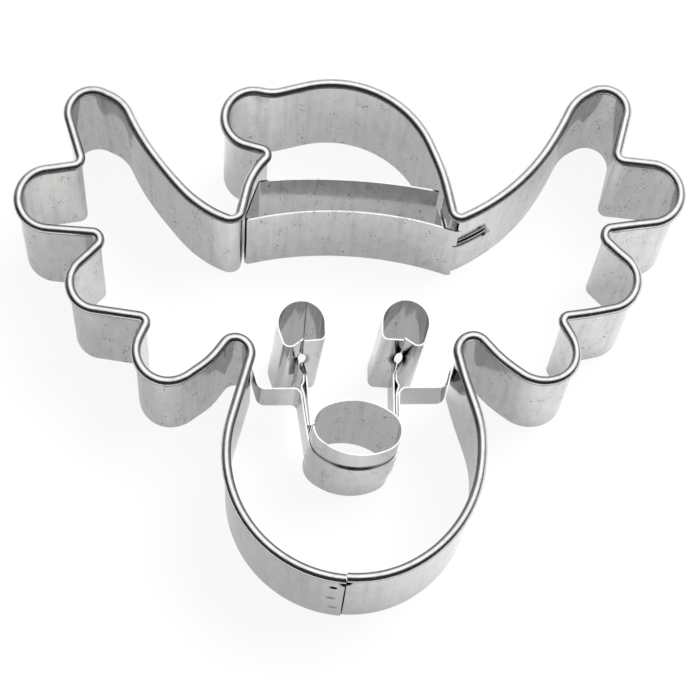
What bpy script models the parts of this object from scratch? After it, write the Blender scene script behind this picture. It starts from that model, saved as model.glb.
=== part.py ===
# Cookie cutter: a reindeer head with a pointed cap, bent from strip metal and spot-welded.
# Values are in millimetres and degrees, the meshes in metres. +Z is up, the cutting edge is at Z = 0,
# and the origin is below the middle of the outline.

import math

import bmesh
import bpy

MM = 0.001

# Strip stock, and how closely the bends are faceted
SHEET = 0.30            # thickness of every strip
LAP_GAP = 0.08          # space left between two sheets that are welded face to face
BUTT_GAP = 0.35         # space between two ends that meet
CHORD_ERROR = 0.05      # how far a facet may leave a bend in plan
ROLL_ERROR = 0.035      # the same in the rolled edge
SHARP_ANGLE = 35.0      # edges that turn more than this are shaded sharp

# Outline band
BAND_HEIGHT = 25.0      # cutting edge to the top of the bead
BEAD_RADIUS = 0.72      # outside radius of the rolled safe edge
BEAD_NECK_RADIUS = 0.5  # bend that carries the wall in under the bead
BEAD_NECK_DROP = 1.25   # from the middle of the bead down to that bend
BEAD_MOUTH = -60.0      # where the rolled edge stops, as an angle round the bead
SEAM_X = -1.7           # the ends meet here, left of the middle of the chin
SEAM_LAP = 5.0          # length of the lapped end
SEAM_STEP = 1.5         # the lapped end steps inwards over this length
SEAM_STATIONS = 10      # facets along the lapped end
SEAM_LUG_TOP = 21.5     # the lapped end is cut away above this height

# Jaw, a part of a circle on the axis of symmetry
JAW_RADIUS = 18.2
JAW_Y = -19.0

# Pins that the band is bent round, as x, y, radius and side.
# A strip turns left round a LEFT pin and right round a RIGHT pin.
LEFT = 1
RIGHT = -1

# Temple, where the face is narrowest and the antler starts
TEMPLE_X = 17.3
TEMPLE_Y = -4.2
TEMPLE_RADIUS = 2.35

# Bends of the antler up to the shoulder of its tip, the same on both sides. Their places are
# measured from the temple, outwards and upwards.
ANTLER_PINS = (
    (9.8, 0.3, 4.6, LEFT),       # lowest lobe
    (13.9, 4.6, 1.0, RIGHT),
    (19.9, 10.8, 4.1, LEFT),     # third lobe
    (20.3, 17.4, 1.2, RIGHT),
    (26.5, 23.9, 4.6, LEFT),     # second lobe
    (23.2, 30.1, 1.15, RIGHT),
    (20.2, 37.0, 3.55, LEFT),    # tip
    (20.2, 34.6, 5.7, LEFT),     # shoulder of the tip
)

# Long hollow from that shoulder down to the corner of the cap
HOLLOW_X = 4.4
HOLLOW_Y = 43.6

# Cap, from its right corner over the top to its left corner
CAP_CORNER_RADIUS = 1.25
CAP_CORNER_RIGHT_X = 16.0
CAP_CORNER_LEFT_X = -17.2
CAP_CORNER_LEFT_DROP = 0.57  # the left corner hangs this far below the sweep of the hollow

# Bends of the cap from right to left, as x and height above the right corner's pin
CAP_PINS = (
    (-14.3, -2.66, 29.0, LEFT),   # right side
    (-2.7, 4.29, 15.65, LEFT),    # top
    (-11.3, 23.44, 5.0, RIGHT),   # dip before the bobble
    (-14.0, 14.44, 4.35, LEFT),   # bobble
    (-13.1, 8.69, 0.9, RIGHT),    # neck of the bobble
    (-5.5, 0.84, 10.0, LEFT),     # left side
)

# Brim of the cap
BRIM_HEIGHT = 20.3
BRIM_LUG_BOTTOM = 5.3
BRIM_LUG_TOP = 13.5
BRIM_LUG_REACH = 5.6         # from the corner of the cap along the antler
BRIM_FOLD_RADIUS = 0.5
BRIM_CROWN_X = -3.4          # the front wall is highest here
BRIM_CROWN_RISE = 1.35       # crown of the front wall above the cap's right corner pin
BRIM_DEPTH = 5.05            # crown of the front wall to crown of the back wall
BRIM_BACK_CROWN_X = -6.0
BRIM_BACK_RADIUS = 88.0
BRIM_LEFT_FOLD_X = -14.5     # fold between the front wall and the left end
BRIM_BACK_FOLD_X = -12.7     # fold between the left end and the back wall

# The eyes, the nose ring and the bracket were joined to each other a little out of plumb: at a
# height below the top of the eyes they stand this share of it further left
INNER_LEAN = 0.04

# Nose bracket, a narrow strip above the cutting edge
BRACKET_BOTTOM = 7.2
BRACKET_HEIGHT = 8.7
BRACKET_ARM_Y = -7.1
BRACKET_RUN_X = 7.15    # top of the runs down beside the nose ring
BRACKET_RUN_BEND = 1.1
BRACKET_TAB_BEND = 1.3
BRACKET_TAB_X = 12.7    # middle of the bend between arm and tab
BRACKET_TAB_RISE = 0.8  # end of the tab above the middle of the temple's bend

# Nose ring, an oval drawn with two end arcs and two long arcs
RING_HEIGHT = 23.3
RING_X = 0.35
RING_Y = -15.15
RING_HALF_LENGTH = 6.35
RING_HALF_WIDTH = 4.05
RING_END_RADIUS = 3.1
RING_TILT = -8.0

# Left eye. Its ends meet in a cusp below the eyeball and run down as two narrow lugs.
EYE_HEIGHT = 24.4
EYE_X = -7.55
EYE_Y = 0.2
EYE_RADIUS = 3.42
EYE_OUTER_LOBE = (-9.25, -2.2, 1.1)  # x, y and radius
EYE_INNER_LOBE = (-5.0, -1.75, 0.9)
EYE_SEAM_X = -7.25      # where the two ends meet
EYE_CUSP_Y = -2.25
EYE_CUSP_RADIUS = 0.2
EYE_BOW_DROP = 0.8      # below the cusp the lugs bow apart
EYE_BOW_REACH = 0.58    # distance of each bowed lug from the seam
EYE_LUG_BEND = 0.45     # radius of the lugs' easy bends
EYE_MEET_DROP = 2.5     # from the cusp to where the lugs lie together again
EYE_PART_RISE = 1.2     # from the bracket's arm to where the outer lug turns off to it
EYE_KINK_RISE = 0.25    # from the bracket's arm to the outer lug's kink
EYE_KINK_REACH = 0.35   # how far the kink stands out from the lug
EYE_KINK_RADIUS = 0.3
EYE_LUG_CLEARANCE = 0.3  # between the nose ring and the ends of the lugs

STEEL_COLOUR = (0.62, 0.63, 0.63, 1.0)
STEEL_ROUGHNESS = 0.28

LAP = SHEET + LAP_GAP   # middle of one sheet to the middle of the sheet welded to it
FULL_TURN = 2.0 * math.pi
NEARLY_FULL_TURN = math.radians(330.0)
SAME_PLACE = 0.01


def turn_between(first, second, side):
    """Angle turned through, going from one heading to another round a pin on that side."""
    turned = (side * (second - first)) % FULL_TURN
    return turned if turned < NEARLY_FULL_TURN else 0.0


def tangent_heading(first_pin, second_pin):
    """Heading of the straight run from one pin to the next."""
    x1, y1, r1, side1 = first_pin
    x2, y2, r2, side2 = second_pin
    cross = (side2 * r2 - side1 * r1) / math.hypot(x2 - x1, y2 - y1)
    return math.atan2(y2 - y1, x2 - x1) - math.asin(max(-1.0, min(1.0, cross)))


def touch_point(pin, heading):
    """Where a strip with this heading touches the pin."""
    x, y, radius, side = pin
    return x + side * radius * math.sin(heading), y - side * radius * math.cos(heading)


def bend_round(pins, error=CHORD_ERROR):
    """Lay a line round the pins. A pin of radius 0 is an end point.

    Gives stations of x, y, heading and the number of the pin that each belongs to.
    """
    headings = [tangent_heading(*pair) for pair in zip(pins[:-1], pins[1:])]
    stations = []
    for number, pin in enumerate(pins):
        radius, side = pin[2:]
        first = headings[max(number - 1, 0)]
        last = headings[min(number, len(headings) - 1)]
        if radius == 0.0:
            stations.append((pin[0], pin[1], last, number))
            continue
        turned = turn_between(first, last, side)
        step = 2.0 * math.acos(max(0.0, 1.0 - error / radius))
        count = max(1, math.ceil(turned / step))
        for index in range(count + 1):
            heading = first + side * turned * index / count
            stations.append((*touch_point(pin, heading), heading, number))
    return without_repeats(stations)


def without_repeats(stations):
    """Drop a station that lies on the one before it."""
    kept = [stations[0]]
    for station in stations[1:]:
        if math.hypot(station[0] - kept[-1][0], station[1] - kept[-1][1]) > SAME_PLACE:
            kept.append(station)
    return kept


def beside(station, distance):
    """Point at a distance to the right of a station."""
    x, y, heading = station[:3]
    return x + distance * math.sin(heading), y - distance * math.cos(heading)


def mirrored(pins):
    """The same bends on the other side of the Y axis, met in the other order."""
    return [(-x, y, radius, side) for x, y, radius, side in reversed(pins)]


def mirrored_stations(stations):
    """The same stations on the other side of the Y axis."""
    return [(-x, y, math.pi - heading, number) for x, y, heading, number in stations]


def other_way(pin):
    """The same bend travelled the other way."""
    x, y, radius, side = pin
    return x, y, radius, -side


def grown(pin, distance):
    """A pin that carries a strip at a distance to the left of the one bent round this pin."""
    x, y, radius, side = pin
    return x, y, radius - side * distance, side


def point_on(pin, angle):
    """End point on a pin's own circle, at an angle round it."""
    x, y, radius = pin[:3]
    return x + radius * math.cos(angle), y + radius * math.sin(angle), 0.0, LEFT


def y_on_circle(centre_x, centre_y, reach, x, way):
    """Y where the circle passes x, on its upper side with way 1 and on its lower side with -1."""
    return centre_y + way * math.sqrt(max(0.0, reach ** 2 - (x - centre_x) ** 2))


def steel():
    material = bpy.data.materials.new("bright_strip_steel")
    material.use_nodes = True
    shader = material.node_tree.nodes["Principled BSDF"]
    shader.inputs["Base Color"].default_value = STEEL_COLOUR
    shader.inputs["Metallic"].default_value = 1.0
    shader.inputs["Roughness"].default_value = STEEL_ROUGHNESS
    return material


def finish(name, mesh_data):
    """Turn a bmesh in millimetres into a smooth-shaded object in metres."""
    bmesh.ops.recalc_face_normals(mesh_data, faces=mesh_data.faces)
    bmesh.ops.scale(mesh_data, vec=(MM, MM, MM), verts=mesh_data.verts)
    mesh = bpy.data.meshes.new(name)
    mesh_data.to_mesh(mesh)
    mesh_data.free()
    mesh.shade_smooth()
    mesh.set_sharp_from_angle(angle=math.radians(SHARP_ANGLE))
    part = bpy.data.objects.new(name, mesh)
    bpy.context.collection.objects.link(part)
    part.data.materials.append(steel())
    return part


def no_lean(x):
    return 0.0


def full_lean(x):
    return 1.0


def arm_lean(x):
    """The bracket leans with the ring between its runs, and stands plumb at its tabs. Its arms lie
    along X, so they stay flat while they pass from one to the other."""
    run_end = BRACKET_RUN_X + BRACKET_RUN_BEND
    share = (BRACKET_TAB_X - abs(x)) / (BRACKET_TAB_X - run_end)
    return max(0.0, min(1.0, share))


def strip(name, stations, levels, is_sheet, lean):
    """Strip on edge along the stations.

    levels are the heights where its edges lie, is_sheet(column, row) says whether there is sheet
    between stations column and column + 1 and levels row and row + 1, and lean(x) is the share of
    the inner pieces' lean that the strip has there.
    """
    data = bmesh.new()
    verts = {}

    def vertex(i, j, side):
        if (i, j, side) not in verts:
            x, y = beside(stations[i], side * SHEET / 2.0)
            shift = INNER_LEAN * (EYE_HEIGHT - levels[j]) * lean(stations[i][0])
            verts[i, j, side] = data.verts.new((x - shift, y, levels[j]))
        return verts[i, j, side]

    def face(*keys):
        data.faces.new([vertex(*key) for key in keys])

    columns = len(stations) - 1
    rows = len(levels) - 1

    def present(i, j):
        return 0 <= i < columns and 0 <= j < rows and is_sheet(i, j)

    for i in range(columns):
        for j in range(rows):
            if not present(i, j):
                continue
            for side in (-1, 1):
                face((i, j, side), (i + 1, j, side), (i + 1, j + 1, side), (i, j + 1, side))
            if not present(i - 1, j):
                face((i, j, -1), (i, j, 1), (i, j + 1, 1), (i, j + 1, -1))
            if not present(i + 1, j):
                face((i + 1, j, -1), (i + 1, j, 1), (i + 1, j + 1, 1), (i + 1, j + 1, -1))
            if not present(i, j - 1):
                face((i, j, -1), (i + 1, j, -1), (i + 1, j, 1), (i, j, 1))
            if not present(i, j + 1):
                face((i, j + 1, -1), (i + 1, j + 1, -1), (i + 1, j + 1, 1), (i, j + 1, 1))
    return finish(name, data)


def plain_strip(name, stations, bottom, top, lean):
    return strip(name, stations, (bottom, top), lambda column, row: True, lean)


def lugged_strip(name, stations, levels, body_pins, lean):
    """Strip of full height from just before its first body pin to just after its last one, with a
    narrow lug beyond each end. levels are the bottom, the lugs' bottom and top, and the top."""
    first_pin, last_pin = body_pins
    start = max(i for i, station in enumerate(stations) if station[3] < first_pin)
    stop = min(i for i, station in enumerate(stations) if station[3] > last_pin)
    return strip(name, stations, levels, lambda column, row: start <= column < stop or row == 1, lean)


# Band

def bead_section():
    """Outline of the band's section, as distance outwards and height, from the cutting edge up one
    face, round the rolled edge and back down the other face."""
    bead_z = BAND_HEIGHT - BEAD_RADIUS
    roll = (0.0, bead_z, BEAD_RADIUS - SHEET / 2.0, RIGHT)
    pins = [
        (0.0, 0.0, 0.0, LEFT),
        (-BEAD_NECK_RADIUS, bead_z - BEAD_NECK_DROP, BEAD_NECK_RADIUS, LEFT),
        roll,
        point_on(roll, math.radians(BEAD_MOUTH)),
    ]
    stations = bend_round(pins, ROLL_ERROR)
    lug_top = (0.0, SEAM_LUG_TOP, math.pi / 2.0, 0)
    stations.insert(1, lug_top)
    left_face = [beside(station, -SHEET / 2.0) for station in stations]
    right_face = [beside(station, SHEET / 2.0) for station in stations]
    return left_face + right_face[::-1]


def jaw():
    return 0.0, JAW_Y, JAW_RADIUS, LEFT


def jaw_angle(x):
    """Angle on the jaw's circle of a point at x, at the chin."""
    return -math.acos(x / JAW_RADIUS)


def temple():
    return TEMPLE_X, TEMPLE_Y, TEMPLE_RADIUS, RIGHT


def antler():
    """Pins of the right antler, from the temple to the hollow that ends it."""
    bends = [(TEMPLE_X + x, TEMPLE_Y + y, radius, side) for x, y, radius, side in ANTLER_PINS]
    return [temple(), *bends, hollow()]


def hollow():
    """The hollow's bend flows straight out of the shoulder's."""
    shoulder_x, shoulder_y, shoulder_radius = ANTLER_PINS[-1][:3]
    apart = math.hypot(TEMPLE_X + shoulder_x - HOLLOW_X, TEMPLE_Y + shoulder_y - HOLLOW_Y)
    return HOLLOW_X, HOLLOW_Y, apart - shoulder_radius, RIGHT


def cap_corner(x, drop):
    """A sharp fold that lies against the inside of the hollow's bend, or hangs below it."""
    hollow_x, hollow_y, radius = hollow()[:3]
    reach = radius - CAP_CORNER_RADIUS
    return x, y_on_circle(hollow_x, hollow_y, reach, abs(x), -1) - drop, CAP_CORNER_RADIUS, RIGHT


def cap():
    """Pins of the cap between its corners, from right to left."""
    corner_y = cap_corner(CAP_CORNER_RIGHT_X, 0.0)[1]
    return [(x, corner_y + rise, radius, side) for x, rise, radius, side in CAP_PINS]


def band_pins():
    seam = jaw_angle(SEAM_X)
    gap = BUTT_GAP / JAW_RADIUS
    right_corner = cap_corner(CAP_CORNER_RIGHT_X, 0.0)
    left_corner = cap_corner(CAP_CORNER_LEFT_X, CAP_CORNER_LEFT_DROP)
    return [
        point_on(jaw(), seam), jaw(), *antler(), right_corner, *cap(),
        left_corner, *mirrored(antler()), jaw(), point_on(jaw(), seam - gap),
    ]


def seam_lug_stations():
    """Stations of the lapped end, from the seam back along the inside of the other end."""
    stations = []
    for index in range(SEAM_STATIONS + 1):
        along = SEAM_LAP * index / SEAM_STATIONS
        eased = min(1.0, along / SEAM_STEP)
        radius = JAW_RADIUS - LAP * eased * eased * (3.0 - 2.0 * eased)
        angle = jaw_angle(SEAM_X) - along / JAW_RADIUS
        stations.append((radius * math.cos(angle), JAW_Y + radius * math.sin(angle),
                         angle + math.pi / 2.0, 0))
    return stations


def outline_band():
    """The band: its section is carried along the outline, and the wall alone runs on at the seam."""
    section = bead_section()
    points = len(section)
    data = bmesh.new()
    rings = []
    for station in bend_round(band_pins()):
        ring = []
        for outwards, z in section:
            ring.append(data.verts.new((*beside(station, outwards), z)))
        rings.append(ring)
    for first, second in zip(rings[:-1], rings[1:]):
        for k in range(points):
            n = (k + 1) % points
            data.faces.new((first[k], first[n], second[n], second[k]))
    data.faces.new(rings[-1])
    # At the start the section ends above the lug, and the four corners of the wall below run on
    wall = (0, 1, points - 2, points - 1)
    data.faces.new([rings[0][k] for k in range(1, points - 1)])
    previous = [rings[0][k] for k in wall]
    for station in seam_lug_stations()[1:]:
        row = []
        for k in wall:
            outwards, z = section[k]
            row.append(data.verts.new((*beside(station, outwards), z)))
        for a in range(4):
            b = (a + 1) % 4
            data.faces.new((previous[a], previous[b], row[b], row[a]))
        previous = row
    data.faces.new(previous)
    return finish("outline_band", data)


# Brim

def brim_front_wall(corner):
    """Arc of the front wall, with its crown in place and its right end flowing into the corner."""
    corner_x, corner_y, corner_radius = corner[:3]
    across = corner_x - BRIM_CROWN_X
    radius = ((across ** 2 + BRIM_CROWN_RISE ** 2 - corner_radius ** 2)
              / (2.0 * (corner_radius + BRIM_CROWN_RISE)))
    return BRIM_CROWN_X, corner_y + BRIM_CROWN_RISE - radius, radius, LEFT


def brim_back_wall(front_wall):
    crown_y = front_wall[1] + front_wall[2] + BRIM_DEPTH
    return BRIM_BACK_CROWN_X, crown_y - BRIM_BACK_RADIUS, BRIM_BACK_RADIUS, RIGHT


def fold_between(wall, side_pin):
    """Fold at the right end of the back wall: inside both the wall's arc and the strip's path down
    the side of the cap."""
    wall_x, wall_y, wall_radius = wall[:3]
    side_x, side_y, side_radius = side_pin[:3]
    wall_reach = wall_radius - BRIM_FOLD_RADIUS
    side_reach = side_radius - BRIM_FOLD_RADIUS
    # Where the two offset arcs cross
    dx = side_x - wall_x
    dy = side_y - wall_y
    apart = math.hypot(dx, dy)
    along = (apart ** 2 + wall_reach ** 2 - side_reach ** 2) / (2.0 * apart)
    across = math.sqrt(max(0.0, wall_reach ** 2 - along ** 2))
    x = wall_x + (along * dx + across * dy) / apart
    y = wall_y + (along * dy - across * dx) / apart
    return x, y, BRIM_FOLD_RADIUS, RIGHT


def brim():
    """Closed at the left and open at the right, where both ends pass the corner of the cap and lie
    on the inside of the band, the front one over the back one."""
    corner = cap_corner(CAP_CORNER_RIGHT_X, 0.0)
    sweep = hollow()
    end_angle = math.atan2(corner[1] - sweep[1], corner[0] - sweep[0]) + BRIM_LUG_REACH / sweep[2]
    front_sweep = grown(sweep, 2.0 * LAP)
    front_corner = grown(corner, 2.0 * LAP)
    back_sweep = other_way(grown(sweep, LAP))
    back_corner = other_way(grown(corner, LAP))
    back_side = other_way(grown(cap()[0], LAP))
    front_wall = brim_front_wall(front_corner)
    back_wall = brim_back_wall(front_wall)
    left_fold_y = y_on_circle(*front_wall[:2], front_wall[2] + BRIM_FOLD_RADIUS, BRIM_LEFT_FOLD_X, 1)
    back_fold_y = y_on_circle(*back_wall[:2], back_wall[2] - BRIM_FOLD_RADIUS, BRIM_BACK_FOLD_X, 1)
    front_lug = [point_on(front_sweep, end_angle), front_sweep, front_corner]
    body = [
        front_wall,
        (BRIM_LEFT_FOLD_X, left_fold_y, BRIM_FOLD_RADIUS, RIGHT),
        (BRIM_BACK_FOLD_X, back_fold_y, BRIM_FOLD_RADIUS, RIGHT),
        back_wall,
    ]
    back_lug = [
        fold_between(back_wall, back_side), back_side, back_corner, back_sweep,
        point_on(back_sweep, end_angle),
    ]
    stations = bend_round(front_lug + body + back_lug)
    body_pins = (len(front_lug), len(front_lug) + len(body) - 1)
    levels = (0.0, BRIM_LUG_BOTTOM, BRIM_LUG_TOP, BRIM_HEIGHT)
    return lugged_strip("cap_brim_strip", stations, levels, body_pins, no_lean)


# Nose

def ring_pins():
    """The four arcs of the nose ring, from its left end round below, counter-clockwise."""
    end = RING_HALF_LENGTH - RING_END_RADIUS
    long_radius = ((end ** 2 + RING_HALF_WIDTH ** 2 - RING_END_RADIUS ** 2)
                   / (2.0 * (RING_HALF_WIDTH - RING_END_RADIUS)))
    rise = long_radius - RING_HALF_WIDTH
    tilt = math.radians(RING_TILT)

    def placed(x, y, radius):
        return (RING_X + x * math.cos(tilt) - y * math.sin(tilt),
                RING_Y + x * math.sin(tilt) + y * math.cos(tilt), radius, LEFT)

    left = placed(-end, 0.0, RING_END_RADIUS)
    below = placed(0.0, rise, long_radius)
    right = placed(end, 0.0, RING_END_RADIUS)
    above = placed(0.0, -rise, long_radius)
    return left, below, right, above


def nose_ring():
    left, below, right, above = ring_pins()
    half_gap = BUTT_GAP / RING_END_RADIUS / 2.0
    start = point_on(left, math.pi + half_gap)
    stop = point_on(left, math.pi - half_gap)
    stations = bend_round([start, left, below, right, above, left, stop])
    return plain_strip("nose_ring_strip", stations, 0.0, RING_HEIGHT, full_lean)


def run_bend_pin():
    """Pin between the left arm of the bracket and its run down."""
    return (-BRACKET_RUN_X - BRACKET_RUN_BEND, BRACKET_ARM_Y - BRACKET_RUN_BEND,
            BRACKET_RUN_BEND, RIGHT)


def tab_pins():
    """End and bend of the left tab, which rests on the inside of the band at the temple."""
    reach = TEMPLE_RADIUS + LAP
    end_x = -TEMPLE_X + math.sqrt(max(0.0, reach ** 2 - BRACKET_TAB_RISE ** 2))
    end = (end_x, TEMPLE_Y + BRACKET_TAB_RISE, 0.0, LEFT)
    bend = (-BRACKET_TAB_X, BRACKET_ARM_Y + BRACKET_TAB_BEND, BRACKET_TAB_BEND, LEFT)
    return [end, bend]


def nose_bracket():
    left, below, right, above = ring_pins()
    cradle = [grown(pin, -LAP) for pin in (left, below, right)]
    half = tab_pins() + [run_bend_pin()]
    stations = bend_round(half + cradle + mirrored(half))
    top = BRACKET_BOTTOM + BRACKET_HEIGHT
    return plain_strip("nose_bracket_strip", stations, BRACKET_BOTTOM, top, arm_lean)


# Eyes

def lug_end(ring_end, laps):
    """End of a lug that lies this many laps inside the bracket's run, short of the nose ring.

    ring_end is the pin of the nose ring's end on the left side.
    """
    heading = tangent_heading(run_bend_pin(), grown(ring_end, -LAP))
    start = (*touch_point(run_bend_pin(), heading), heading)
    # Both lugs stop where the inner one's face would come too close to the ring
    face_x, face_y = beside(start, -2.0 * LAP - SHEET / 2.0)
    ring_x, ring_y, ring_radius = ring_end[:3]
    reach = ring_radius + SHEET / 2.0 + EYE_LUG_CLEARANCE
    towards_x = ring_x - face_x
    towards_y = ring_y - face_y
    along = towards_x * math.cos(heading) + towards_y * math.sin(heading)
    across = towards_x * math.sin(heading) - towards_y * math.cos(heading)
    length = along - math.sqrt(max(0.0, reach ** 2 - across ** 2))
    x, y = beside(start, -laps * LAP)
    return x + length * math.cos(heading), y + length * math.sin(heading), 0.0, LEFT


def eye(name, ring_end, place):
    """An eye, made on the left and passed through place, from the end of its outer lug up and round
    the eyeball to the end of its inner lug."""
    outer_x = -BRACKET_RUN_X + LAP
    inner_x = outer_x + LAP
    meet_y = EYE_CUSP_Y - EYE_MEET_DROP
    bow_y = EYE_CUSP_Y - EYE_BOW_DROP
    cusp_y = EYE_CUSP_Y - EYE_CUSP_RADIUS
    cusp_x = LAP / 2.0 + EYE_CUSP_RADIUS
    outer_lug = [
        lug_end(ring_end, 1),
        other_way(grown(run_bend_pin(), LAP)),
        (outer_x - EYE_KINK_REACH + EYE_KINK_RADIUS, BRACKET_ARM_Y + EYE_KINK_RISE,
         EYE_KINK_RADIUS, RIGHT),
        (outer_x - EYE_LUG_BEND, BRACKET_ARM_Y + EYE_PART_RISE, EYE_LUG_BEND, LEFT),
        (outer_x - EYE_LUG_BEND, meet_y, EYE_LUG_BEND, LEFT),
        (EYE_SEAM_X - EYE_BOW_REACH + EYE_LUG_BEND, bow_y, EYE_LUG_BEND, RIGHT),
    ]
    body = [
        (EYE_SEAM_X - cusp_x, cusp_y, EYE_CUSP_RADIUS, LEFT),
        (*EYE_OUTER_LOBE, RIGHT),
        (EYE_X, EYE_Y, EYE_RADIUS, RIGHT),
        (*EYE_INNER_LOBE, RIGHT),
        (EYE_SEAM_X + cusp_x, cusp_y, EYE_CUSP_RADIUS, LEFT),
    ]
    inner_lug = [
        (EYE_SEAM_X + EYE_BOW_REACH - EYE_LUG_BEND, bow_y, EYE_LUG_BEND, RIGHT),
        (inner_x - EYE_LUG_BEND, meet_y, EYE_LUG_BEND, RIGHT),
        lug_end(ring_end, 2),
    ]
    stations = place(bend_round(outer_lug + body + inner_lug))
    body_pins = (len(outer_lug), len(outer_lug) + len(body) - 1)
    levels = (0.0, BRACKET_BOTTOM, BRACKET_BOTTOM + BRACKET_HEIGHT, EYE_HEIGHT)
    return lugged_strip(name, stations, levels, body_pins, full_lean)


def build():
    for old in list(bpy.data.objects):
        bpy.data.objects.remove(old)
    outline_band()
    brim()
    nose_ring()
    nose_bracket()
    left, below, right, above = ring_pins()
    eye("left_eye_strip", left, list)
    eye("right_eye_strip", mirrored([right])[0], mirrored_stations)


build()
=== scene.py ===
# Looks of a cookie cutter: a reindeer head with a pointed cap, bent from bright strip metal.
# The frame is the solids' own. Sizes are in millimetres and turned to metres by mm, and only those
# of the table, the lamps and the flags are in metres.
import math

import bpy
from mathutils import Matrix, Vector


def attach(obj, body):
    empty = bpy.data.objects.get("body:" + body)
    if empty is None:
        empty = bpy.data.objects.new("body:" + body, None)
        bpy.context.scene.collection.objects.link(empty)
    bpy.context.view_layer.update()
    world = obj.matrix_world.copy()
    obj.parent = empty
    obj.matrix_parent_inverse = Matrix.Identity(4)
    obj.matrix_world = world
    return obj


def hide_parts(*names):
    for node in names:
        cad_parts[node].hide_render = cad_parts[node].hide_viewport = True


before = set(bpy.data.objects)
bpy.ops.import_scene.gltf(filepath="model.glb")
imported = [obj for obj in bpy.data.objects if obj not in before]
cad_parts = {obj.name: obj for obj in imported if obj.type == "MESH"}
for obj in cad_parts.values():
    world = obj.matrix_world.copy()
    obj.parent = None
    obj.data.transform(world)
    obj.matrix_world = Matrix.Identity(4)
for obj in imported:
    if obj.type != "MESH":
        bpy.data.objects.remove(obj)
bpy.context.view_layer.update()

mm = 0.001
left, right = 1, -1   # a strip turns left round a left pin and right round a right pin

stock = {
    "sheet": 0.22,        # thickness of every strip
    "lapGap": 0.16,       # between two sheets that are welded face to face
    "buttGap": 0.15,      # between two ends that meet
    "chordError": 0.004,  # how far a facet may leave a bend
    "tightest": 0.15,     # smallest radius that is faceted by that error
    "longestStep": 1.3,   # longest facet along a straight run
    "rowHeight": 1.2,     # tallest facet of a wall
    "samePlace": 0.003,   # points closer than this are one
    "noTurn": 330.0,      # degrees: what seems a longer turn is none, with a rounding error
    "sharpAngle": 40.0,   # degrees: a flatter edge is shaded smooth
    "lean": 0.04,         # out of plumb for each mm of height, in the strips of eyes and nose
    "waveLength": 9.0,    # across the waves that bending by hand leaves in the walls
    "waveFade": 4.0,      # height over which the waves die out
    "pushes": (           # where hand bending left the outline uneven: x, y, reach, moved by x, y
        # Left antler, from the lowest lobe to the tip and down the hollow
        (-29, -5, 8, 0.35, 0.2), (-40, 6, 7, 0.43, 0.0), (-36.2, 13.5, 3, -0.3, 0.0),
        (-44, 20, 8, 0.0, -0.37), (-38, 34, 7, -0.2, -0.1), (-22.5, 17.5, 6, -0.5, -0.75),
        # Right antler, from the lowest lobe to the tip
        (24, -8, 6, 0.0, -0.2), (30, -7, 4.5, 0.55, -0.2), (35, 3, 7, 0.2, -0.5),
        (36.2, 13.5, 3, 0.55, 0.0), (37, 37, 6, 0.0, -0.27), (32.8, 33.8, 3.5, 0.2, -0.18),
        # Temples and jaw
        (-21.3, -4.7, 3.4, 0.4, -0.48), (21.3, -4.9, 3.6, -0.3, -0.35), (18, -14, 4.5, 0.42, 0.0),
        (5, -37, 9, 0.0, -0.15),
        # Cap, and its left corner
        (-3, 38, 14, 0.0, -0.12), (-17, 15.6, 2.2, 0.0, 0.4),
    ),
}
lap = stock["sheet"] + stock["lapGap"]   # between the middles of two welded sheets

print("scene: frame loaded")


# Bending a strip: its section stands on edge at the start of a route, and is carried along it.
# A route is bent round pins, each x, y, radius and side, and a pin of radius 0 is an end point.

def tangentHeading(firstPin, secondPin):
    x1, y1, r1, side1 = firstPin
    x2, y2, r2, side2 = secondPin
    cross = (side2 * r2 - side1 * r1) / math.hypot(x2 - x1, y2 - y1)
    return math.atan2(y2 - y1, x2 - x1) - math.asin(max(-1.0, min(1.0, cross)))


def touchPoint(pin, heading):
    x, y, radius, side = pin
    return x + side * radius * math.sin(heading), y - side * radius * math.cos(heading)


def turnBetween(first, second, side):
    turned = (side * (second - first)) % (2 * math.pi)
    return turned if turned < math.radians(stock["noTurn"]) else 0.0


def grown(pin, distance):   # the pin of a strip that runs this far to the left of another
    x, y, radius, side = pin
    return x, y, radius - side * distance, side


def otherWay(pin):
    return pin[0], pin[1], pin[2], -pin[3]


def mirrored(pins):
    return [(-x, y, radius, side) for x, y, radius, side in reversed(pins)]


def pointOn(pin, angle):   # end point on a pin's circle
    return pin[0] + pin[2] * math.cos(angle), pin[1] + pin[2] * math.sin(angle), 0.0, left


def beside(x, y, heading, distance):   # to the right of a place on the strip
    return x + distance * math.sin(heading), y - distance * math.cos(heading)


def yOnCircle(centreX, centreY, reach, x, way):
    return centreY + way * math.sqrt(max(0.0, reach ** 2 - (x - centreX) ** 2))


def routeMoves(pins):   # for each pin after the first, a straight run to it and a turn round it
    headings = [tangentHeading(a, b) for a, b in zip(pins[:-1], pins[1:])]
    moves = []
    x, y = touchPoint(pins[0], headings[0])
    for number, pin in enumerate(pins[1:], 1):
        arriving = headings[number - 1]
        leaving = headings[min(number, len(headings) - 1)]
        toX, toY = touchPoint(pin, arriving)
        moves.append(("run", toX - x, toY - y))
        moves.append(("turn", pin, turnBetween(arriving, leaving, pin[3])))
        x, y = touchPoint(pin, leaving)
    return moves


def pushOut(x, y, z):
    bpy.ops.mesh.extrude_region_move(
        TRANSFORM_OT_translate={"value": (x * mm, y * mm, z * mm)})


def spinRound(centre, axis, turned, radius):   # a turn to the left of the axis is positive
    step = 2 * math.acos(1 - stock["chordError"] / max(radius, stock["tightest"]))
    bpy.ops.mesh.spin(steps=max(1, math.ceil(abs(turned) / step)), angle=-turned,
                      use_auto_merge=False, center=[c * mm for c in centre], axis=axis)


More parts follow.
